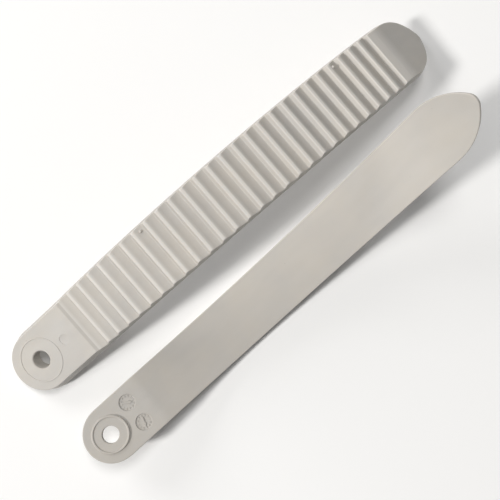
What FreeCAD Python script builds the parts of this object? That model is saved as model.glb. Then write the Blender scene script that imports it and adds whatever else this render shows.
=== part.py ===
import FreeCAD, Part
import math
import os

# Two one-piece moulded ladder straps for ratchet buckles, in millimetres, +Z up.
# The wide strap stands arched on its two ends with its teeth up. The narrow strap is the same
# design at a smaller size, turned over, so that it lies on its teeth and shows its back.
#
# Each strap is drawn along its own back line, which starts at the hole end, runs straight under
# the pad, bends up a little where the pad ends and then curls away from the teeth in two arcs.
# A place on a strap is given by s, the distance along the back line, y, across the strap, and n,
# the height above the back face.

# Wide strap, across and along.
WIDTH = 25.0
LENGTH = 216.5
STRAIGHT_LENGTH = 29.9
PAD_LENGTH = 33.9
PAD_BEND = math.radians(9.8)
LONG_ARC_END = 183.1
LONG_ARC_RADIUS = 153.8
TIP_ARC_RADIUS = 71.0
SIDE_DRAFT = math.radians(16.0)

# Wide strap, heights above the back face.
PAD_THICKNESS = 4.7
CREST_THICKNESS = 3.9
WEB_THICKNESS = 2.3
TIP_THICKNESS = 1.5

# Ladder teeth: the gentle ramps face the tip and the steep faces face the hole end.
TOOTH_COUNT = 27
TOOTH_PITCH = 5.57
FIRST_CREST = 40.7
STEEP_RUN = 1.05
LAND_RUN = 1.0
LAST_LAND_EXTRA = 2.7
RAMP_SAG = 0.36

# Pointed tip: two convex flanks that start at the shoulders and meet in a small round nose.
SHOULDER_FROM_TIP = 23.5
FLANK_RADIUS = 30.0
FLANK_CLEARANCE = 0.05

# Fastening bore, with a rimmed boss on the back and a thin raised ring on the tooth side.
BOSS_HEIGHT = 0.4
BOSS_RIM_HEIGHT = 0.7
BOSS_RIM_WIDTH = 0.7
BOSS_RADIUS_TO_WIDTH = 0.305
BORE_MOUTH_CHAMFER = 0.6
SEAT_RADIUS_TO_WIDTH = 0.333
SEAT_RING_WIDTH = 0.5
SEAT_RING_HEIGHT = 0.15

# Marks that the mould leaves: an ejector pin on the pad, two gate pips, two date wheels.
EJECTOR_RADIUS = 1.9
EJECTOR_BEYOND_BORE = 12.7
EJECTOR_DEPTH = 0.12
PIP_RADIUS = 0.6
PIP_FROM_EDGE = 2.8
# Crest, distance beyond it and height of the middle, for each pip.
PIPS = [(6, 1.9, 2.8), (22, 1.0, 3.25)]
DATE_WHEEL_RADIUS = 3.0
DATE_WHEEL_DEPTH = 0.35
DATE_WHEEL_BEYOND_BORE = 13.0
DATE_WHEEL_OFFSET = 5.2
ARROW_LENGTH = 3.6
ARROW_WIDTH = 0.5
ARROW_HEAD = 1.3
ARROW_MEAN_TURN = 71.0
ARROW_SIDE_TURN = 38.0

# Narrow strap against the wide one.
NARROW_RATIO = 0.894
NARROW_TAPER = 0.093

# Bores: medium clearance for an M6 screw, and a 6 mm shank.
WIDE_BORE_RADIUS = 3.3
WIDE_BORE_FROM_END = 13.6
NARROW_BORE_RADIUS = 3.1
NARROW_BORE_FROM_END = 10.0

# How the two lie on the floor, beside each other along X. Each leans a little to one side.
ROW_HALF_SPACING = 18.8
WIDE_ROLL = 2.3
NARROW_AHEAD = 3.4
NARROW_YAW = 1.0
NARROW_ROLL = -2.8
NARROW_ROCK = 7.5

# Reach of a cutting shape past the face it cuts, and spacing of the sections of the curled length
# and of the bend.
OVERSHOOT = 2.0
LOFT_STEP = 7.0
BEND_LOFT_STEP = 1.0


class Strap:
    """The dimensions of one strap, and the shapes that are cut from or added to it."""

    def __init__(self, ratio, taper, bore_radius, bore_from_end):
        self.ratio = ratio
        self.taper = taper
        self.bore_radius = bore_radius
        self.bore_from_end = bore_from_end
        self.length = LENGTH * ratio
        self.straight = STRAIGHT_LENGTH * ratio
        self.pad_end = PAD_LENGTH * ratio
        self.long_arc_end = LONG_ARC_END * ratio
        self.pad_height = PAD_THICKNESS * ratio
        self.crest_height = CREST_THICKNESS * ratio
        self.web_height = WEB_THICKNESS * ratio
        bend = -PAD_BEND / (self.pad_end - self.straight)
        long_arc = 1.0 / (LONG_ARC_RADIUS * ratio)
        tip_arc = 1.0 / (TIP_ARC_RADIUS * ratio)
        self.curves = [(self.straight, 0.0), (self.pad_end, bend)]
        self.curves += [(self.long_arc_end, long_arc), (math.inf, tip_arc)]

    def width_at(self, s):
        """Width of the back face, which may grow a little towards the tip."""
        return WIDTH * self.ratio * (1.0 + self.taper * (s / self.length - 0.5))

    def back_line(self, s):
        """Point of the back line in XZ at distance s, and the downward slope there in radians."""
        x, z, slope, start = 0.0, 0.0, 0.0, 0.0
        for end, curvature in self.curves:
            run = min(s, end) - start
            if curvature == 0.0:
                x += run * math.cos(slope)
                z -= run * math.sin(slope)
            else:
                turned = slope + run * curvature
                x += (math.sin(turned) - math.sin(slope)) / curvature
                z -= (math.cos(slope) - math.cos(turned)) / curvature
                slope = turned
            if s <= end:
                break
            start = end
        return x, z, slope

    def at(self, s, n, y=0.0):
        """Point at distance s, height n above the back face and offset y across."""
        x, z, slope = self.back_line(s)
        return FreeCAD.Vector(x + n * math.sin(slope), y, z + n * math.cos(slope))

    def frame_at(self, s):
        """Placement whose X runs along the strap and whose Z is the outward normal at s."""
        slope = self.back_line(s)[2]
        turn = FreeCAD.Rotation(FreeCAD.Vector(0, 1, 0), math.degrees(slope))
        return FreeCAD.Placement(self.at(s, 0.0), turn)

    def section(self, s):
        """Cross-section at s: widest at the back, with drafted sides."""
        half_back = self.width_at(s) / 2.0
        half_top = half_back - self.pad_height * math.tan(SIDE_DRAFT)
        corners = [(0.0, -half_back), (0.0, half_back)]
        corners += [(self.pad_height, half_top), (self.pad_height, -half_top)]
        points = [self.at(s, n, y) for n, y in corners]
        return Part.makePolygon(points + points[:1])

    def pad(self):
        """Flat pad with its round end, up to the bend."""
        end_radius = self.width_at(0.0) / 2.0
        top_radius = end_radius - self.pad_height * math.tan(SIDE_DRAFT)
        centre = FreeCAD.Vector(end_radius, 0, 0)
        round_end = Part.makeCone(end_radius, top_radius, self.pad_height, centre)
        flat = Part.makeLoft([self.section(end_radius), self.section(self.straight)], True, True)
        return round_end.fuse(flat)

    def curled(self, first, last, spacing):
        """Full-height length of the strap that follows the back line from first to last."""
        steps = math.ceil((last - first) / spacing)
        step = (last - first) / steps
        return Part.makeLoft([self.section(first + step * i) for i in range(steps + 1)], True, False)

    def bend(self):
        """The end of the pad, where it bends up."""
        return self.curled(self.straight, self.pad_end, BEND_LOFT_STEP)

    def ladder(self):
        """The curled length, with its teeth and its pointed tip."""
        blank = self.curled(self.pad_end, self.length, LOFT_STEP * self.ratio)
        return blank.cut(self.tooth_cutter()).cut(self.tip_cutter())

    def arc(self, first, middle, last):
        """Circular edge through three (s, n) places."""
        return Part.Arc(self.at(*first), self.at(*middle), self.at(*last)).toShape()

    def line(self, first, last):
        """Straight edge between two (s, n) places."""
        return Part.LineSegment(self.at(*first), self.at(*last)).toShape()

    def ramp(self, start, end):
        """Hollow ramp that falls from one (s, n) place to another."""
        middle_s = (start[0] + end[0]) / 2.0
        middle_n = end[1] + RAMP_SAG * (start[1] - end[1])
        return self.arc(start, (middle_s, middle_n), end)

    def tooth_cutter(self):
        """Everything above the ladder, from the end of the pad to beyond the tip."""
        k = self.ratio
        edges = []
        top = self.pad_height + OVERSHOOT
        crest = (self.pad_end, self.pad_height)
        edges.append(self.line((crest[0], top), crest))
        for i in range(TOOTH_COUNT):
            land_end = (FIRST_CREST + TOOTH_PITCH * i) * k
            land_start = land_end - LAND_RUN * k
            valley = (land_start - STEEP_RUN * k, self.web_height)
            if i == TOOTH_COUNT - 1:
                land_end += LAST_LAND_EXTRA * k
            edges.append(self.ramp(crest, valley))
            edges.append(self.line(valley, (land_start, self.crest_height)))
            crest = (land_end, self.crest_height)
            edges.append(self.line((land_start, self.crest_height), crest))
        beyond = self.length + OVERSHOOT
        edges.append(self.ramp(crest, (beyond, TIP_THICKNESS * k)))
        edges.append(self.line((beyond, TIP_THICKNESS * k), (beyond, top)))
        for far, near in ((beyond, self.long_arc_end), (self.long_arc_end, self.pad_end)):
            edges.append(self.arc((far, top), ((far + near) / 2.0, top), (near, top)))
        face = Part.Face(Part.Wire(edges))
        reach = WIDTH
        face.translate(FreeCAD.Vector(0, -reach, 0))
        return face.extrude(FreeCAD.Vector(0, 2.0 * reach, 0))

    def tip_cutter(self):
        """Everything outside the pointed tip, square to the strap halfway along the point."""
        k = self.ratio
        reach = SHOULDER_FROM_TIP * k
        half = self.width_at(self.length) / 2.0 + FLANK_CLEARANCE
        radius = FLANK_RADIUS * k
        drop = radius - half
        nose = (reach ** 2 + drop ** 2 - radius ** 2) / (2.0 * (reach - radius))
        nose_x = reach - nose
        join_angle = math.atan2(drop, nose_x)

        def on_flank(angle, side):
            return FreeCAD.Vector(radius * math.cos(angle), side * (radius * math.sin(angle) - drop), 0)

        square = math.pi / 2.0
        halfway = (join_angle + square) / 2.0
        upper = Part.Arc(on_flank(square, 1), on_flank(halfway, 1), on_flank(join_angle, 1))
        lower = Part.Arc(on_flank(join_angle, -1), on_flank(halfway, -1), on_flank(square, -1))
        nose_point = FreeCAD.Vector(reach, 0, 0)
        round_nose = Part.Arc(on_flank(join_angle, 1), nose_point, on_flank(join_angle, -1))
        outside = [(0.0, -half), (0.0, -2.0 * half), (2.0 * reach, -2.0 * half)]
        outside += [(2.0 * reach, 2.0 * half), (0.0, 2.0 * half), (0.0, half)]
        frame_points = [FreeCAD.Vector(x, y, 0) for x, y in outside]
        frame_edges = Part.makePolygon(frame_points).Edges
        outline = [upper.toShape(), round_nose.toShape(), lower.toShape()] + frame_edges
        face = Part.Face(Part.Wire(outline))
        cutter = face.extrude(FreeCAD.Vector(0, 0, 4.0 * self.pad_height))
        cutter.translate(FreeCAD.Vector(-reach / 2.0, 0, -2.0 * self.pad_height))
        cutter.Placement = self.frame_at(self.length - reach / 2.0).multiply(cutter.Placement)
        return cutter

    def boss(self):
        """Round boss on the back, round the bore, with a narrow rim that stands a little prouder."""
        radius = BOSS_RADIUS_TO_WIDTH * WIDTH * self.ratio
        depth_inside = self.web_height
        centre = FreeCAD.Vector(self.bore_from_end, 0, -BOSS_RIM_HEIGHT)
        rimmed = Part.makeCylinder(radius, BOSS_RIM_HEIGHT + depth_inside, centre)
        dish = Part.makeCylinder(radius - BOSS_RIM_WIDTH, BOSS_RIM_HEIGHT - BOSS_HEIGHT, centre)
        return rimmed.cut(dish)

    def bore(self):
        """Through bore with a bevelled mouth on the tooth side."""
        start = FreeCAD.Vector(self.bore_from_end, 0, -OVERSHOOT)
        hole = Part.makeCylinder(self.bore_radius, self.pad_height + 2.0 * OVERSHOOT, start)
        bevel = 2.0 * BORE_MOUTH_CHAMFER
        mouth_start = FreeCAD.Vector(self.bore_from_end, 0, self.pad_height - BORE_MOUTH_CHAMFER)
        mouth = Part.makeCone(self.bore_radius, self.bore_radius + bevel, bevel, mouth_start)
        return hole.fuse(mouth)

    def seat_ring(self):
        """Thin raised ring round the bore on the tooth side."""
        radius = SEAT_RADIUS_TO_WIDTH * WIDTH * self.ratio
        start = FreeCAD.Vector(self.bore_from_end, 0, self.web_height)
        height = self.pad_height + SEAT_RING_HEIGHT - self.web_height
        outer = Part.makeCylinder(radius + SEAT_RING_WIDTH / 2.0, height, start)
        inner = Part.makeCylinder(radius - SEAT_RING_WIDTH / 2.0, height, start)
        return outer.cut(inner)

    def ejector_mark(self):
        """Shallow round mark on the pad."""
        x = self.bore_from_end + EJECTOR_BEYOND_BORE * self.ratio
        start = FreeCAD.Vector(x, 0, self.pad_height - EJECTOR_DEPTH)
        return Part.makeCylinder(EJECTOR_RADIUS, OVERSHOOT, start)

    def date_wheel(self, side):
        """Shallow round recess on the back that keeps a plain raised arrow, and no figures."""
        bottom = FreeCAD.Vector(0, 0, -OVERSHOOT)
        recess = Part.makeCylinder(DATE_WHEEL_RADIUS, OVERSHOOT + DATE_WHEEL_DEPTH, bottom)
        half = ARROW_LENGTH / 2.0
        head_base = half - ARROW_HEAD
        outline = [(-half, -ARROW_WIDTH / 2.0), (head_base, -ARROW_WIDTH / 2.0)]
        outline += [(head_base, -ARROW_HEAD / 2.0), (half, 0.0), (head_base, ARROW_HEAD / 2.0)]
        outline += [(head_base, ARROW_WIDTH / 2.0), (-half, ARROW_WIDTH / 2.0)]
        corners = [FreeCAD.Vector(x, y, -OVERSHOOT) for x, y in outline]
        face = Part.Face(Part.makePolygon(corners + corners[:1]))
        arrow = face.extrude(FreeCAD.Vector(0, 0, 2.0 * OVERSHOOT))
        mark = recess.cut(arrow)
        turn = ARROW_MEAN_TURN + ARROW_SIDE_TURN * side
        mark.rotate(FreeCAD.Vector(0, 0, 0), FreeCAD.Vector(0, 0, 1), turn)
        x = self.bore_from_end + DATE_WHEEL_BEYOND_BORE * self.ratio
        mark.translate(FreeCAD.Vector(x, side * DATE_WHEEL_OFFSET * self.ratio, 0))
        return mark

    def pips(self):
        """Two small gate pips in the ladder, beside one edge."""
        found = []
        for crest, beyond, height in PIPS:
            s = (FIRST_CREST + TOOTH_PITCH * crest + beyond) * self.ratio
            y = self.width_at(s) / 2.0 - PIP_FROM_EDGE
            found.append(Part.makeSphere(PIP_RADIUS, self.at(s, height * self.ratio, y)))
        return found

    def solid(self):
        """The whole moulding in its own frame: back line along +X, teeth on the +Z side."""
        shape = self.pad().fuse([self.bend(), self.ladder(), self.boss(), self.seat_ring()] + self.pips())
        marks = [self.ejector_mark(), self.date_wheel(1), self.date_wheel(-1)]
        shape = shape.cut([self.bore()] + marks)
        return shape.Solids[0]


def lowest_to_floor(shape):
    """Lift or lower a shape until it touches z = 0."""
    shape.translate(FreeCAD.Vector(0, 0, -shape.optimalBoundingBox(False, False).ZMin))


def stand_arched(strap):
    """Strap with its teeth up, tilted until both ends of its back are level, leaning a little."""
    shape = strap.solid()
    end = strap.at(strap.length, 0.0)
    tilt = math.degrees(math.atan2(end.z, end.x))
    shape.rotate(FreeCAD.Vector(0, 0, 0), FreeCAD.Vector(0, 1, 0), tilt)
    shape.rotate(FreeCAD.Vector(0, 0, 0), FreeCAD.Vector(1, 0, 0), WIDE_ROLL)
    lowest_to_floor(shape)
    return shape


def lie_on_teeth(strap):
    """Strap turned over and rocked towards its hole end, leaning a little."""
    shape = strap.solid()
    shape.rotate(FreeCAD.Vector(0, 0, 0), FreeCAD.Vector(1, 0, 0), 180.0)
    shape.rotate(FreeCAD.Vector(0, 0, 0), FreeCAD.Vector(0, 1, 0), NARROW_ROCK)
    shape.rotate(FreeCAD.Vector(0, 0, 0), FreeCAD.Vector(1, 0, 0), NARROW_ROLL)
    shape.rotate(FreeCAD.Vector(0, 0, 0), FreeCAD.Vector(0, 0, 1), NARROW_YAW)
    lowest_to_floor(shape)
    return shape


wide = Strap(1.0, 0.0, WIDE_BORE_RADIUS, WIDE_BORE_FROM_END)
narrow = Strap(NARROW_RATIO, NARROW_TAPER, NARROW_BORE_RADIUS, NARROW_BORE_FROM_END)

teeth_up = stand_arched(wide)
teeth_up.translate(FreeCAD.Vector(0, ROW_HALF_SPACING, 0))
back_up = lie_on_teeth(narrow)
back_up.translate(FreeCAD.Vector(NARROW_AHEAD, -ROW_HALF_SPACING, 0))

# The origin is under the middle of the pair's box, on the floor.
box = Part.makeCompound([teeth_up, back_up]).optimalBoundingBox(False, False)
to_origin = FreeCAD.Vector(-(box.XMin + box.XMax) / 2.0, -(box.YMin + box.YMax) / 2.0, 0)
nodes = {"teeth_up_strap": teeth_up, "back_up_strap": back_up}

os.makedirs("parts", exist_ok=True)
for name, shape in nodes.items():
    shape.translate(to_origin)
    shape.exportStep("parts/" + name + ".step")
    print(name, "valid", shape.isValid(), "volume", round(shape.Volume), "faces", len(shape.Faces))
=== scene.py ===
import math

import bmesh
import bpy
import numpy as np
from mathutils import Euler, Matrix, Vector


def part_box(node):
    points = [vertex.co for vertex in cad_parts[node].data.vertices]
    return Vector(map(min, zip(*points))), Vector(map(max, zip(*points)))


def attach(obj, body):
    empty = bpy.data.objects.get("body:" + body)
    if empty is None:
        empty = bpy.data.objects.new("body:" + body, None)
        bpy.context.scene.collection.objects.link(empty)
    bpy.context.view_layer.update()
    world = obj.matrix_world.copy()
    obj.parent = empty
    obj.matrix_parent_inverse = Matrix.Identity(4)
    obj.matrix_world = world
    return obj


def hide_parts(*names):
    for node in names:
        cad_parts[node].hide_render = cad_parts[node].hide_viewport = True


# Looks of two moulded ladder straps. Each strap is drawn flat, in millimetres, as places (s, y, n):
# s along the back face from the hole end, y across, n the height above the back face. It is then
# bent along its back line and laid where the strap's solid lies.

MM = 0.001

# Dimensions of the wide strap in millimetres, the same as those of its solid.
WIDTH = 25.0
LENGTH = 216.5
STRAIGHT_LENGTH = 29.9
PAD_LENGTH = 33.9
PAD_BEND = math.radians(9.8)
LONG_ARC_END = 183.1
LONG_ARC_RADIUS = 153.8
TIP_ARC_RADIUS = 71.0
SIDE_DRAFT = math.tan(math.radians(16.0))
PAD_THICKNESS = 4.7
CREST_THICKNESS = 3.9
WEB_THICKNESS = 2.3
TIP_THICKNESS = 1.5
TOOTH_COUNT = 27
TOOTH_PITCH = 5.57
FIRST_CREST = 40.7
STEEP_RUN = 1.05
LAND_RUN = 1.0
LAST_LAND_EXTRA = 2.7
RAMP_SAG = 0.36
SHOULDER_FROM_TIP = 23.5
FLANK_RADIUS = 30.0
BOSS_HEIGHT = 0.4
BOSS_RIM_HEIGHT = 0.7
BOSS_RIM_WIDTH = 0.7
BOSS_RADIUS_TO_WIDTH = 0.305
WIDE_BORE_RADIUS = 3.3
WIDE_BORE_FROM_END = 13.6
SEAT_RADIUS_TO_WIDTH = 0.333
SEAT_RING_WIDTH = 0.5
SEAT_RING_HEIGHT = 0.15
EJECTOR_RADIUS = 1.9
EJECTOR_BEYOND_BORE = 12.7
EJECTOR_DEPTH = 0.12
PIP_RADIUS = 0.6
PIP_FROM_EDGE = 2.8
# Crest, distance beyond it and height of the middle, for each pip.
PIPS = [(6, 1.9, 2.8), (22, 1.0, 3.25)]
DATE_WHEEL_RADIUS = 3.0
DATE_WHEEL_DEPTH = 0.35
DATE_WHEEL_BEYOND_BORE = 13.0
DATE_WHEEL_OFFSET = 5.2
ARROW_LENGTH = 3.6
ARROW_WIDTH = 0.5
ARROW_HEAD = 1.3
ARROW_MEAN_TURN = 71.0
ARROW_SIDE_TURN = 38.0

# The narrow strap is the wide one at this ratio, and widens by this share toward its tip.
NARROW_RATIO = 0.894
NARROW_TAPER = 0.093
NARROW_BORE_RADIUS = 3.1
NARROW_BORE_FROM_END = 10.0

# Roundings and slopes that only the looks have. A corner with the crisp setback stays sharp.
BACK_EDGE = 0.5
TOP_EDGE = 0.3
CREST_EDGE = 0.2
LAND_EDGE = 0.3
VALLEY_FILLET = 0.35
CRISP = 0.01
MOUTH_RADIUS = 0.6
BORE_BROKEN_EDGE = 0.15
BOSS_FOOT_WIDTH = 0.3
BOSS_FOOT_FILLET = 0.28
BOSS_DRAFT = 0.03
RIM_OUTER_EDGE = 0.2
RIM_INNER_EDGE = 0.15
RIM_INNER_FILLET = 0.12
RIM_SLOPE = 0.08
SEAT_RING_EDGE = 0.07
SEAT_RING_SLOPE = 0.08
EJECTOR_SLOPE = 0.05
WHEEL_MOUTH_EDGE = 0.05
WHEEL_FLOOR_FILLET = 0.08
WHEEL_MOUTH_BEYOND = 0.06
WHEEL_FLOOR_WITHIN = 0.03

# Marks on the floor of a date wheel. Tops are depths below the back face.
ARROW_TOP = 0.02
TICK_COUNT = 12
TICK_INNER = 2.0
TICK_OUTER = 2.6
TICK_HALF_WIDTH = 0.14
TICK_TOP = 0.09
MARK_SPREAD = 0.05

# How far added and cutting shells reach past the surface that they meet.
BOSS_REACH = 1.5
SEAT_RING_REACH = 1.0
SEAT_RING_FOOT_REACH = 0.05
BORE_REACH = 3.0
BORE_OVERLAP = 0.01
MOUTH_OVERLAP = 0.02
RECESS_REACH = 0.3
MARK_REACH = 0.1

# Into how many steps curves are divided, and the widest and closest gap between the
# cross-sections of a strap, in millimetres. The margin keeps sections clear of the shoulder.
EDGE_STEPS = 4
RAMP_STEPS = 8
LATHE_STEPS = 96
MOUTH_STEPS = 8
PIP_STEPS = 16
HOLE_END_STEPS = 40
BEND_STEPS = 8
FLANK_STEPS = 28
NOSE_STEPS = 14
WIDEST_GAP = 1.5
CLOSEST_GAP = 0.02
SHOULDER_MARGIN = 0.5

# How the straps lie, in degrees.
WIDE_ROLL = 2.3
NARROW_YAW = 1.0
NARROW_ROLL = -2.8
NARROW_ROCK = 7.5

SHARP_ANGLE = math.radians(38.0)


def bezier(a, control, b, t):
    """Point at t on a quadratic curve in the plane."""
    u = 1.0 - t
    return tuple(u * u * p + 2.0 * u * t * q + t * t * r for p, q, r in zip(a, control, b))


def rounded_chain(pieces, setbacks):
    """Points along quadratic pieces (a, control, b), with each joint rounded by its setback."""
    points = []
    for i, (a, control, b) in enumerate(pieces):
        size = math.dist(a, b)
        first = setbacks[i - 1] / size if i > 0 else 0.0
        last = 1.0 - setbacks[i] / size if i < len(pieces) - 1 else 1.0
        straight = math.dist(control, ((a[0] + b[0]) / 2.0, (a[1] + b[1]) / 2.0)) < 1e-9
        count = 1 if straight else RAMP_STEPS
        inner = [bezier(a, control, b, first + (last - first) * j / count) for j in range(count + 1)]
        if i > 0:
            start = points[-1]
            points += [bezier(start, a, inner[0], j / EDGE_STEPS) for j in range(1, EDGE_STEPS)]
        points += inner
    return points


def straight_piece(a, b):
    """Quadratic piece that is a straight line."""
    return a, ((a[0] + b[0]) / 2.0, (a[1] + b[1]) / 2.0), b


def polygon_chain(corners, setbacks):
    """Open polyline through corners, each inner corner rounded by its setback."""
    pieces = [straight_piece(a, b) for a, b in zip(corners, corners[1:])]
    return rounded_chain(pieces, setbacks)


def object_from(name, vertices, faces):
    """New object in the scene with this mesh."""
    mesh = bpy.data.meshes.new(name)
    mesh.from_pydata([tuple(v) for v in vertices], [], faces)
    mesh.validate()
    made = bpy.data.objects.new(name, mesh)
    bpy.context.scene.collection.objects.link(made)
    return made


def outward(obj):
    """Turn every face of a closed mesh outward."""
    bm = bmesh.new()
    bm.from_mesh(obj.data)
    bmesh.ops.recalc_face_normals(bm, faces=bm.faces)
    bm.to_mesh(obj.data)
    bm.free()


class Shells:
    """Closed shells collected into one mesh."""

    def __init__(self):
        self.vertices = []
        self.faces = []

    def add(self, vertices, faces):
        base = len(self.vertices)
        self.vertices += vertices
        self.faces += [tuple(base + i for i in face) for face in faces]

    def lathe(self, centre_s, centre_y, profile):
        """Turn an (r, n) profile that starts and ends on the axis."""
        inner = profile[1:-1]
        vertices = [(centre_s, centre_y, profile[0][1]), (centre_s, centre_y, profile[-1][1])]
        for r, n in inner:
            for j in range(LATHE_STEPS):
                angle = 2.0 * math.pi * j / LATHE_STEPS
                vertices.append((centre_s + r * math.cos(angle), centre_y + r * math.sin(angle), n))
        faces = []
        for j in range(LATHE_STEPS):
            k = (j + 1) % LATHE_STEPS
            faces.append((0, 2 + k, 2 + j))
            for i in range(len(inner) - 1):
                low, high = 2 + i * LATHE_STEPS, 2 + (i + 1) * LATHE_STEPS
                faces.append((low + j, low + k, high + k, high + j))
            last = 2 + (len(inner) - 1) * LATHE_STEPS
            faces.append((1, last + j, last + k))
        self.add(vertices, faces)

    def prism(self, outline, low, high, spread):
        """Straight-sided shell over an outline, larger at its base by the share spread."""
        count = len(outline)
        middle_s = sum(s for s, y in outline) / count
        middle_y = sum(y for s, y in outline) / count
        vertices = []
        for s, y in outline:
            vertices.append((s + spread * (s - middle_s), y + spread * (y - middle_y), low))
        vertices += [(s, y, high) for s, y in outline]
        faces = [tuple(range(count)), tuple(range(2 * count - 1, count - 1, -1))]
        for i in range(count):
            j = (i + 1) % count
            faces.append((i, j, count + j, count + i))
        self.add(vertices, faces)

    def ball(self, centre, radius):
        """Ball: a half circle turned about the axis through its middle."""
        centre_s, centre_y, centre_n = centre
        profile = []
        for i in range(PIP_STEPS + 1):
            angle = math.pi * i / PIP_STEPS
            profile.append((radius * math.sin(angle), centre_n + radius * math.cos(angle)))
        self.lathe(centre_s, centre_y, profile)

    def object(self, name):
        """The collected shells as one object, with every face turned outward."""
        made = object_from(name, self.vertices, self.faces)
        outward(made)
        return made


def combine(body, other, operation):
    """Exact boolean of two closed meshes; the other mesh is used up."""
    modifier = body.modifiers.new("combine", "BOOLEAN")
    modifier.operation = operation
    modifier.solver = "EXACT"
    modifier.object = other
    graph = bpy.context.evaluated_depsgraph_get()
    mesh = bpy.data.meshes.new_from_object(body.evaluated_get(graph))
    body.modifiers.clear()
    old = body.data
    body.data = mesh
    bpy.data.meshes.remove(old)
    used = other.data
    bpy.data.objects.remove(other)
    bpy.data.meshes.remove(used)


class Strap:
    """The dimensions of one strap and its mesh."""

    def __init__(self, ratio, taper, bore_radius, bore_from_end):
        self.ratio = ratio
        self.taper = taper
        self.bore_radius = bore_radius
        self.bore_from_end = bore_from_end
        self.length = LENGTH * ratio
        self.straight = STRAIGHT_LENGTH * ratio
        self.pad_end = PAD_LENGTH * ratio
        self.long_arc_end = LONG_ARC_END * ratio
        self.pad_height = PAD_THICKNESS * ratio
        self.crest_height = CREST_THICKNESS * ratio
        self.web_height = WEB_THICKNESS * ratio
        bend = -PAD_BEND / (self.pad_end - self.straight)
        long_arc = 1.0 / (LONG_ARC_RADIUS * ratio)
        tip_arc = 1.0 / (TIP_ARC_RADIUS * ratio)
        self.curves = [(self.straight, 0.0), (self.pad_end, bend)]
        self.curves += [(self.long_arc_end, long_arc), (math.inf, tip_arc)]
        self.profile = self.top_profile()
        self.profile_s = [p[0] for p in self.profile]
        self.profile_n = [p[1] for p in self.profile]

    def width_at(self, s):
        """Width of the back face at distance s."""
        return WIDTH * self.ratio * (1.0 + self.taper * (s / self.length - 0.5))

    def back_line(self, s):
        """Point of the back line at distance s, and the downward slope there in radians."""
        x, z, slope, start = 0.0, 0.0, 0.0, 0.0
        for end, curvature in self.curves:
            run = min(s, end) - start
            if curvature == 0.0:
                x += run * math.cos(slope)
                z -= run * math.sin(slope)
            else:
                turned = slope + run * curvature
                x += (math.sin(turned) - math.sin(slope)) / curvature
                z -= (math.cos(slope) - math.cos(turned)) / curvature
                slope = turned
            if s <= end:
                break
            start = end
        return x, z, slope

    def bent(self, s, y, n):
        """Where the flat place (s, y, n) goes once the strap is bent."""
        x, z, slope = self.back_line(s)
        return x + n * math.sin(slope), y, z + n * math.cos(slope)

    def ramp(self, start, end):
        """Hollow ramp as a quadratic piece."""
        # The control point puts the middle of the ramp above its end by RAMP_SAG of the drop.
        height = end[1] + (2.0 * RAMP_SAG - 0.5) * (start[1] - end[1])
        return start, ((start[0] + end[0]) / 2.0, height), end

    def top_profile(self):
        """(s, n) points of the tooth side, from the hole end to the tip."""
        k = self.ratio
        crest = (self.pad_end, self.pad_height)
        pieces = [straight_piece((-BACK_EDGE, self.pad_height), crest)]
        setbacks = [LAND_EDGE * k]
        for i in range(TOOTH_COUNT):
            land_end = (FIRST_CREST + TOOTH_PITCH * i) * k
            land_start = land_end - LAND_RUN * k
            valley = (land_start - STEEP_RUN * k, self.web_height)
            if i == TOOTH_COUNT - 1:
                land_end += LAST_LAND_EXTRA * k
            pieces.append(self.ramp(crest, valley))
            pieces.append(straight_piece(valley, (land_start, self.crest_height)))
            crest = (land_end, self.crest_height)
            pieces.append(straight_piece((land_start, self.crest_height), crest))
            setbacks += [VALLEY_FILLET * k, CREST_EDGE * k, LAND_EDGE * k]
        pieces.append(self.ramp(crest, (self.length + BACK_EDGE, TIP_THICKNESS * k)))
        return rounded_chain(pieces, setbacks)

    def top_at(self, s):
        """Height of the tooth side at distance s."""
        return float(np.interp(s, self.profile_s, self.profile_n))

    def sections(self, first, shoulder):
        """Distances s of the cross-sections between the round hole end and the shoulder."""
        stations = [s for s in self.profile_s if first < s < shoulder - SHOULDER_MARGIN]
        bend = self.pad_end - self.straight
        stations += [self.straight + bend * i / BEND_STEPS for i in range(BEND_STEPS + 1)]
        spread = sorted(set([first] + stations + [shoulder]))
        filled = []
        for a, b in zip(spread, spread[1:]):
            parts = math.ceil((b - a) / WIDEST_GAP) if a >= self.straight else 1
            filled += [a + (b - a) * j / parts for j in range(parts)]
        kept = [filled[0]]
        for s in filled[1:]:
            if s - kept[-1] > CLOSEST_GAP:
                kept.append(s)
        return kept

    def outline(self):
        """Places (s, y) on one side of the back face's outline with their inward normals."""
        k = self.ratio
        places = []
        end_radius = self.width_at(0.0) / 2.0
        for i in range(HOLE_END_STEPS):
            angle = math.pi / 2.0 * i / HOLE_END_STEPS
            along, across = math.cos(angle), math.sin(angle)
            places.append((end_radius * (1.0 - along), end_radius * across, along, -across))
        reach = SHOULDER_FROM_TIP * k
        shoulder = self.length - reach
        places += [(s, self.width_at(s) / 2.0, 0.0, -1.0) for s in self.sections(end_radius, shoulder)]
        half = self.width_at(shoulder) / 2.0
        radius = FLANK_RADIUS * k
        drop = radius - half
        nose = (reach ** 2 + drop ** 2 - radius ** 2) / (2.0 * (reach - radius))
        nose_s = reach - nose
        join = math.atan2(drop, nose_s)
        for i in range(FLANK_STEPS):
            angle = math.pi / 2.0 + (join - math.pi / 2.0) * i / FLANK_STEPS
            along, across = math.cos(angle), math.sin(angle)
            places.append((shoulder + radius * along, radius * across - drop, -along, -across))
        for i in range(NOSE_STEPS + 1):
            angle = join * (1.0 - i / NOSE_STEPS)
            along, across = math.cos(angle), math.sin(angle)
            places.append((shoulder + nose_s + nose * along, nose * across, -along, -across))
        return places

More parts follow.
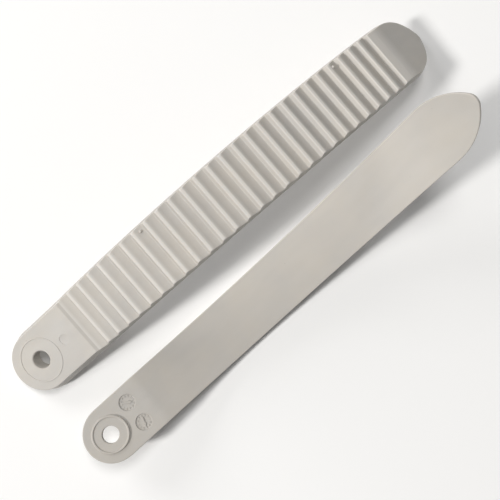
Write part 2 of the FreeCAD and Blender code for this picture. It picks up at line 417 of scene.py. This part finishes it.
    def wall(self, height):
        """(inset, n) points of the side wall, from the back face over both rounded edges."""
        corners = [(2.0 * BACK_EDGE, 0.0), (0.0, 0.0), (height * SIDE_DRAFT, height)]
        corners.append((height * SIDE_DRAFT + 2.0 * TOP_EDGE, height))
        return polygon_chain(corners, [BACK_EDGE, TOP_EDGE])[1:-1]

    def blank(self):
        """Closed flat mesh of the strap with its teeth and tip."""
        # Each side has one row of wall points per place, and both share the rows on the middle line.
        places = self.outline()
        count = len(places)
        rings = []
        for side in (1.0, -1.0):
            rows = []
            for s, y, normal_s, normal_y in places:
                depth = self.top_at(s) * SIDE_DRAFT + TOP_EDGE
                height = self.top_at(s + normal_s * depth)
                row = []
                for inset, n in self.wall(height):
                    row.append((s + normal_s * inset, side * max(y + normal_y * inset, 0.0), n))
                rows.append(row)
            rings.append(rows)
        levels = len(rings[0][0])
        vertices = [p for row in rings[0] for p in row]
        other = {}
        for i in range(count):
            if i in (0, count - 1):
                other[i] = i * levels
            else:
                other[i] = len(vertices)
                vertices += rings[1][i]
        faces = []
        for i in range(count - 1):
            a, b = i * levels, (i + 1) * levels
            c, d = other[i], other[i + 1]
            for j in range(levels - 1):
                faces.append((a + j, b + j, b + j + 1, a + j + 1))
                faces.append((c + j, c + j + 1, d + j + 1, d + j))
            for j in (0, levels - 1):
                corners = [a + j, c + j, d + j, b + j]
                loop = []
                for v in corners:
                    if v not in loop:
                        loop.append(v)
                faces.append(tuple(loop if j == 0 else loop[::-1]))
        made = object_from("blank", vertices, faces)
        outward(made)
        return made

    def boss(self, shells):
        """Round boss with its narrow rim and a small fillet at its foot."""
        radius = BOSS_RADIUS_TO_WIDTH * WIDTH * self.ratio
        foot = radius + BOSS_FOOT_WIDTH
        inner = radius - BOSS_RIM_WIDTH
        corners = [(0.0, BOSS_REACH), (foot, BOSS_REACH), (foot, BOSS_DRAFT), (radius, 0.0)]
        corners += [(radius - BOSS_DRAFT, -BOSS_RIM_HEIGHT), (inner + RIM_SLOPE, -BOSS_RIM_HEIGHT)]
        corners += [(inner, -BOSS_HEIGHT), (0.0, -BOSS_HEIGHT)]
        setbacks = [CRISP, CRISP, BOSS_FOOT_FILLET, RIM_OUTER_EDGE, RIM_INNER_EDGE, RIM_INNER_FILLET]
        shells.lathe(self.bore_from_end, 0.0, polygon_chain(corners, setbacks))

    def seat_ring(self, shells):
        """Thin raised ring round the bore, drawn as a low rounded step."""
        radius = SEAT_RADIUS_TO_WIDTH * WIDTH * self.ratio
        outer = radius + SEAT_RING_WIDTH / 2.0
        inner = radius - SEAT_RING_WIDTH / 2.0
        top = self.pad_height + SEAT_RING_HEIGHT
        low = self.pad_height - SEAT_RING_FOOT_REACH
        deep = self.pad_height - SEAT_RING_REACH
        corners = [(0.0, deep), (outer, deep), (outer, low)]
        corners += [(outer - SEAT_RING_SLOPE, top), (inner + SEAT_RING_SLOPE, top)]
        corners += [(inner, low), (0.0, low)]
        setbacks = [CRISP, CRISP, SEAT_RING_EDGE, SEAT_RING_EDGE, CRISP]
        shells.lathe(self.bore_from_end, 0.0, polygon_chain(corners, setbacks))

    def bore(self, shells):
        """Through bore with a rounded mouth on the tooth side and a broken edge on the boss."""
        r, top = self.bore_radius, self.pad_height
        broken = r + BORE_BROKEN_EDGE
        corners = [(0.0, -BORE_REACH), (broken, -BORE_REACH), (broken, -BOSS_HEIGHT - BORE_OVERLAP)]
        corners.append((r, -BOSS_HEIGHT + BORE_BROKEN_EDGE))
        profile = polygon_chain(corners, [CRISP, CRISP]) + [(r, top - MOUTH_RADIUS)]
        for j in range(1, MOUTH_STEPS + 1):
            angle = math.pi / 2.0 * j / MOUTH_STEPS
            out = MOUTH_RADIUS * (1.0 - math.cos(angle))
            down = MOUTH_RADIUS * (1.0 - math.sin(angle))
            profile.append((r + out, top - down))
        profile += [(r + MOUTH_RADIUS + MOUTH_OVERLAP, top + BORE_REACH), (0.0, top + BORE_REACH)]
        shells.lathe(self.bore_from_end, 0.0, profile)

    def ejector_mark(self, shells):
        """Shallow round dent where an ejector pin pushed."""
        s = self.bore_from_end + EJECTOR_BEYOND_BORE * self.ratio
        low = self.pad_height - EJECTOR_DEPTH
        high = self.pad_height + RECESS_REACH
        corners = [(0.0, low), (EJECTOR_RADIUS - EJECTOR_SLOPE, low)]
        corners += [(EJECTOR_RADIUS + EJECTOR_SLOPE, high), (0.0, high)]
        shells.lathe(s, 0.0, polygon_chain(corners, [EJECTOR_SLOPE, CRISP]))

    def wheel_centre(self, side):
        """Middle of a date wheel, on the side +1 or -1 of the middle line."""
        s = self.bore_from_end + DATE_WHEEL_BEYOND_BORE * self.ratio
        return s, side * DATE_WHEEL_OFFSET * self.ratio

    def date_recess(self, shells, side):
        """Round recess of a date wheel, in the back face."""
        s, y = self.wheel_centre(side)
        mouth = DATE_WHEEL_RADIUS + WHEEL_MOUTH_BEYOND
        floor = DATE_WHEEL_RADIUS - WHEEL_FLOOR_WITHIN
        corners = [(0.0, -RECESS_REACH), (mouth, -RECESS_REACH), (mouth, 0.0)]
        corners += [(floor, DATE_WHEEL_DEPTH), (0.0, DATE_WHEEL_DEPTH)]
        shells.lathe(s, y, polygon_chain(corners, [CRISP, WHEEL_MOUTH_EDGE, WHEEL_FLOOR_FILLET]))

    def date_marks(self, shells, side):
        """Plain raised arrow and a ring of short ticks on the floor of the recess."""
        s, y = self.wheel_centre(side)
        low = DATE_WHEEL_DEPTH + MARK_REACH

        def placed(points, angle):
            c, d = math.cos(angle), math.sin(angle)
            return [(s + c * p - d * q, y + d * p + c * q) for p, q in points]

        end = ARROW_LENGTH / 2.0
        neck = end - ARROW_HEAD
        shaft = ARROW_WIDTH / 2.0
        barb = ARROW_HEAD / 2.0
        arrow = [(-end, -shaft), (neck, -shaft), (neck, -barb), (end, 0.0)]
        arrow += [(neck, barb), (neck, shaft), (-end, shaft)]
        turn = math.radians(ARROW_MEAN_TURN + ARROW_SIDE_TURN * side)
        shells.prism(placed(arrow, turn), low, ARROW_TOP, MARK_SPREAD)
        tick = [(TICK_INNER, -TICK_HALF_WIDTH), (TICK_OUTER, -TICK_HALF_WIDTH)]
        tick += [(TICK_OUTER, TICK_HALF_WIDTH), (TICK_INNER, TICK_HALF_WIDTH)]
        for i in range(TICK_COUNT):
            angle = 2.0 * math.pi * (i + 0.5) / TICK_COUNT
            shells.prism(placed(tick, angle), low, TICK_TOP, MARK_SPREAD)

    def pips(self, shells):
        """Small round gate pips near one edge."""
        for crest, beyond, height in PIPS:
            s = (FIRST_CREST + TOOTH_PITCH * crest + beyond) * self.ratio
            y = self.width_at(s) / 2.0 - PIP_FROM_EDGE
            shells.ball((s, y, height * self.ratio), PIP_RADIUS)

    def build(self, name):
        """The finished mesh, bent along its back line, in metres."""
        body = self.blank()
        added = Shells()
        self.boss(added)
        self.seat_ring(added)
        self.pips(added)
        combine(body, added.object("added"), "UNION")
        removed = Shells()
        raised = Shells()
        self.bore(removed)
        self.ejector_mark(removed)
        for side in (1, -1):
            self.date_recess(removed, side)
            self.date_marks(raised, side)
        combine(body, removed.object("removed"), "DIFFERENCE")
        combine(body, raised.object("raised"), "UNION")
        body.name = name
        body.data.name = name
        mesh = body.data
        flat = np.array([v.co for v in mesh.vertices], float).reshape(-1, 3)
        along = mesh.attributes.new("strap", "FLOAT_VECTOR", "POINT")
        along.data.foreach_set("vector", (flat * MM).astype(np.float32).ravel())
        bent = np.array([self.bent(s, y, n) for s, y, n in flat]) * MM
        mesh.vertices.foreach_set("co", bent.astype(np.float32).ravel())
        mesh.update()
        return body


def lay(obj, turn, node):
    """Turn a strap, then centre it on its node's box and let it touch the floor."""
    obj.data.transform(turn)
    points = np.array([v.co for v in obj.data.vertices], float).reshape(-1, 3)
    low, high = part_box(node)
    middle = (points.min(0) + points.max(0)) / 2.0
    across_x = (low.x + high.x) / 2.0 - middle[0]
    across_y = (low.y + high.y) / 2.0 - middle[1]
    obj.data.transform(Matrix.Translation((across_x, across_y, -points[:, 2].min())))
    obj.data.update()


def finish_surface(obj):
    """Smooth shading that keeps the flat faces flat."""
    obj.data.shade_smooth()
    obj.data.set_sharp_from_angle(angle=SHARP_ANGLE)
    modifier = obj.modifiers.new("flat faces stay flat", "WEIGHTED_NORMAL")
    modifier.mode = "FACE_AREA"
    modifier.weight = 50
    modifier.keep_sharp = True


def add_node(tree, kind, **values):
    """New node with its inputs set by name, an underscore standing for a space."""
    made = tree.nodes.new(kind)
    for key, value in values.items():
        made.inputs[key.replace("_", " ")].default_value = value
    return made


# Colours of the plastic, as linear red, green, blue and alpha.
WARM = (0.520, 0.490, 0.446, 1.0)
COOL = (0.488, 0.468, 0.440, 1.0)
FLOW_BAND = (0.550, 0.525, 0.490, 1.0)
# Painted shade, laid into the tooth valleys and on everything lower than them.
VALLEY_PAINTED_SHADE = (0.40, 0.375, 0.34, 1.0)
# Painted highlight, laid on the tooth crests.
PAINTED_CREST_HIGHLIGHT = (0.68, 0.655, 0.62, 1.0)
SPECK = (0.16, 0.14, 0.12, 1.0)

# A noise is drawn over the flat place (s, y, n). Its size is in features to the metre, and a
# value below one makes it longer along that direction.
EVEN = (1.0, 1.0, 1.0)
FLOW_STRETCH = (0.25, 1.0, 1.0)
SMEAR_STRETCH = (0.3, 1.0, 1.0)
WAVE_STRETCH = (0.6, 1.0, 1.0)


def plastic():
    """Satin moulded plastic: warm pale grey, with flow bands, grain, painted shade in the valleys, a
    painted highlight on the crests, and specks.
    """
    material = bpy.data.materials.new("satin_plastic")
    material.use_nodes = True
    tree = material.node_tree
    tree.nodes.clear()
    link = tree.links.new
    output = add_node(tree, "ShaderNodeOutputMaterial")
    shader = add_node(tree, "ShaderNodeBsdfPrincipled", IOR=1.49, Specular_IOR_Level=0.3)
    shader.inputs["Subsurface Weight"].default_value = 0.12
    shader.inputs["Subsurface Radius"].default_value = (1.0, 0.8, 0.6)
    shader.inputs["Subsurface Scale"].default_value = 1.2 * MM
    link(shader.outputs["BSDF"], output.inputs["Surface"])

    # The attribute "strap" holds the flat place of each vertex, in metres.
    place = add_node(tree, "ShaderNodeAttribute")
    place.attribute_name = "strap"
    split = add_node(tree, "ShaderNodeSeparateXYZ")
    link(place.outputs["Vector"], split.inputs["Vector"])
    height = split.outputs["Z"]

    def noise(stretch, size, detail, rough=0.5):
        scaled = add_node(tree, "ShaderNodeMapping", Scale=stretch)
        link(place.outputs["Vector"], scaled.inputs["Vector"])
        node = add_node(tree, "ShaderNodeTexNoise", Scale=size, Detail=detail, Roughness=rough)
        link(scaled.outputs["Vector"], node.inputs["Vector"])
        return node.outputs["Fac"]

    def mix(factor, a, b):
        node = tree.nodes.new("ShaderNodeMix")
        node.data_type = "RGBA"
        link(factor, node.inputs["Factor"])
        for name, value in (("A", a), ("B", b)):
            target = [i for i in node.inputs if i.name == name and i.type == "RGBA"][0]
            if isinstance(value, tuple):
                target.default_value = value
            else:
                link(value, target)
        return [o for o in node.outputs if o.type == "RGBA"][0]

    def remap(value, low, high, out_low, out_high):
        node = add_node(tree, "ShaderNodeMapRange", From_Min=low, From_Max=high)
        node.inputs["To Min"].default_value = out_low
        node.inputs["To Max"].default_value = out_high
        link(value, node.inputs["Value"])
        return node.outputs["Result"]

    def math_node(operation, a, b):
        node = tree.nodes.new("ShaderNodeMath")
        node.operation = operation
        link(a, node.inputs[0])
        link(b, node.inputs[1])
        return node.outputs["Value"]

    def bump(strength, distance, value, below=None):
        node = add_node(tree, "ShaderNodeBump", Strength=strength, Distance=distance)
        link(value, node.inputs["Height"])
        if below:
            link(below, node.inputs["Normal"])
        return node.outputs["Normal"]

    cloudy = remap(noise(EVEN, 60.0, 3.0), 0.35, 0.65, 0.0, 1.0)
    base = mix(cloudy, WARM, COOL)
    flow = remap(noise(FLOW_STRETCH, 260.0, 2.0), 0.4, 0.75, 0.0, 0.35)
    base = mix(flow, base, FLOW_BAND)
    # Painted shade: the colour is darkened toward the floors of the tooth valleys, and fully below 2.2
    # mm.
    painted_valley_shade = remap(height, 2.2 * MM, 2.9 * MM, 0.16, 0.0)
    base = mix(painted_valley_shade, base, VALLEY_PAINTED_SHADE)
    # Painted highlight: crests from 3.3 mm up are made paler, but not the higher pad.
    high_enough = remap(height, 3.3 * MM, 3.8 * MM, 0.0, 0.6)
    below_pad = remap(height, 3.95 * MM, 4.05 * MM, 1.0, 0.0)
    base = mix(math_node("MULTIPLY", high_enough, below_pad), base, PAINTED_CREST_HIGHLIGHT)
    cells = add_node(tree, "ShaderNodeTexVoronoi", Scale=210.0)
    link(place.outputs["Vector"], cells.inputs["Vector"])
    spots = remap(cells.outputs["Distance"], 0.018, 0.034, 0.55, 0.0)
    link(mix(spots, base, SPECK), shader.inputs["Base Color"])

    grain = noise(EVEN, 1500.0, 4.0, 0.6)
    grainy = remap(grain, 0.3, 0.7, 0.44, 0.56)
    smeared = remap(noise(SMEAR_STRETCH, 90.0, 3.0), 0.35, 0.65, -0.05, 0.05)
    link(math_node("ADD", grainy, smeared), shader.inputs["Roughness"])

    wavy = bump(0.35, 0.4 * MM, noise(WAVE_STRETCH, 110.0, 1.0))
    link(bump(0.3, 0.04 * MM, grain, wavy), shader.inputs["Normal"])
    return material


def paper():
    """Pale studio floor."""
    material = bpy.data.materials.new("studio_floor")
    material.use_nodes = True
    shader = material.node_tree.nodes["Principled BSDF"]
    shader.inputs["Base Color"].default_value = (0.93, 0.93, 0.93, 1.0)
    shader.inputs["Roughness"].default_value = 0.9
    shader.inputs["Specular IOR Level"].default_value = 0.1
    return material


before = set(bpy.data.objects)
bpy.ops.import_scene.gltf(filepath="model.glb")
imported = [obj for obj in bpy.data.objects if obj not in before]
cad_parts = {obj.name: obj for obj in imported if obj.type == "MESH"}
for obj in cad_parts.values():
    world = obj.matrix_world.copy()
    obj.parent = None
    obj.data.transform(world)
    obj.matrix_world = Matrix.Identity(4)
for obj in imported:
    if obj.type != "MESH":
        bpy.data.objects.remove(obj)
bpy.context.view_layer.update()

# Each strap is turned the way it lies: the wide one stands on its two ends, teeth up, and the
# narrow one is turned over and rocked back on its teeth.
wide = Strap(ratio=1.0, taper=0.0, bore_radius=WIDE_BORE_RADIUS, bore_from_end=WIDE_BORE_FROM_END)
teeth_up = wide.build("teeth_up_moulding")
end_x, _, end_z = wide.bent(wide.length, 0.0, 0.0)
on_both_ends = Matrix.Rotation(math.atan2(end_z, end_x), 4, "Y")
lay(teeth_up, Matrix.Rotation(math.radians(WIDE_ROLL), 4, "X") @ on_both_ends, "teeth_up_strap")

narrow = Strap(NARROW_RATIO, NARROW_TAPER, NARROW_BORE_RADIUS, NARROW_BORE_FROM_END)
back_up = narrow.build("back_up_moulding")
turned = Matrix.Rotation(math.radians(NARROW_YAW), 4, "Z")
turned = turned @ Matrix.Rotation(math.radians(NARROW_ROLL), 4, "X")
turned = turned @ Matrix.Rotation(math.radians(NARROW_ROCK), 4, "Y")
turned = turned @ Matrix.Rotation(math.pi, 4, "X")
lay(back_up, turned, "back_up_strap")

satin = plastic()
for moulding, node in ((teeth_up, "teeth_up_strap"), (back_up, "back_up_strap")):
    moulding.data.materials.clear()
    moulding.data.materials.append(satin)
    finish_surface(moulding)
    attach(moulding, node)
    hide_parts(node)

# Floor, light and camera, in metres and watts, and the lens and sensor in millimetres.
FLOOR_HALF = 4.0
WORLD_STRENGTH = 0.17
CAMERA_HEIGHT = 0.2911
CAMERA_LENS = 54.4
CAMERA_SENSOR = 36.0
CAMERA_TURN = Euler((math.radians(4.138), math.radians(-1.913), math.radians(-41.206)), "XYZ")
CAMERA_AIM = Vector((-0.00482, -0.00194, 0.0))

corners = [(-FLOOR_HALF, -FLOOR_HALF, 0), (FLOOR_HALF, -FLOOR_HALF, 0)]
corners += [(FLOOR_HALF, FLOOR_HALF, 0), (-FLOOR_HALF, FLOOR_HALF, 0)]
floor = object_from("floor", corners, [(0, 1, 2, 3)])
floor.data.materials.append(paper())


def soft_light(name, place, size, power, colour):
    """Round area light that shines at the middle of the floor."""
    lamp = bpy.data.lights.new(name, "AREA")
    lamp.shape = "DISK"
    lamp.size = size
    lamp.energy = power
    lamp.color = colour
    holder = bpy.data.objects.new(name, lamp)
    bpy.context.scene.collection.objects.link(holder)
    holder.location = place
    holder.rotation_euler = (-Vector(place)).to_track_quat("-Z", "Y").to_euler()


soft_light("key", (-1.60, 0.45, 1.40), size=0.3, power=31.0, colour=(1.0, 0.985, 0.96))
soft_light("top", (0.30, 0.35, 1.40), size=0.5, power=7.0, colour=(1.0, 0.99, 0.97))
soft_light("back", (-0.3, 1.6, 0.75), size=0.9, power=10.5, colour=(1.0, 0.99, 0.975))

world = bpy.data.worlds.new("studio")
world.use_nodes = True
background = world.node_tree.nodes["Background"]
background.inputs["Color"].default_value = (1.0, 1.0, 1.0, 1.0)
background.inputs["Strength"].default_value = WORLD_STRENGTH
scene = bpy.context.scene
scene.world = world
scene.view_settings.view_transform = "Standard"

camera = bpy.data.cameras.new("camera")
camera.sensor_width = CAMERA_SENSOR
camera.lens = CAMERA_LENS
camera.clip_start = 0.01
camera.clip_end = 50.0
viewpoint = bpy.data.objects.new("camera", camera)
scene.collection.objects.link(viewpoint)
viewpoint.rotation_euler = CAMERA_TURN
back = CAMERA_TURN.to_matrix() @ Vector((0.0, 0.0, CAMERA_HEIGHT))
viewpoint.location = back + CAMERA_AIM
scene.camera = viewpoint
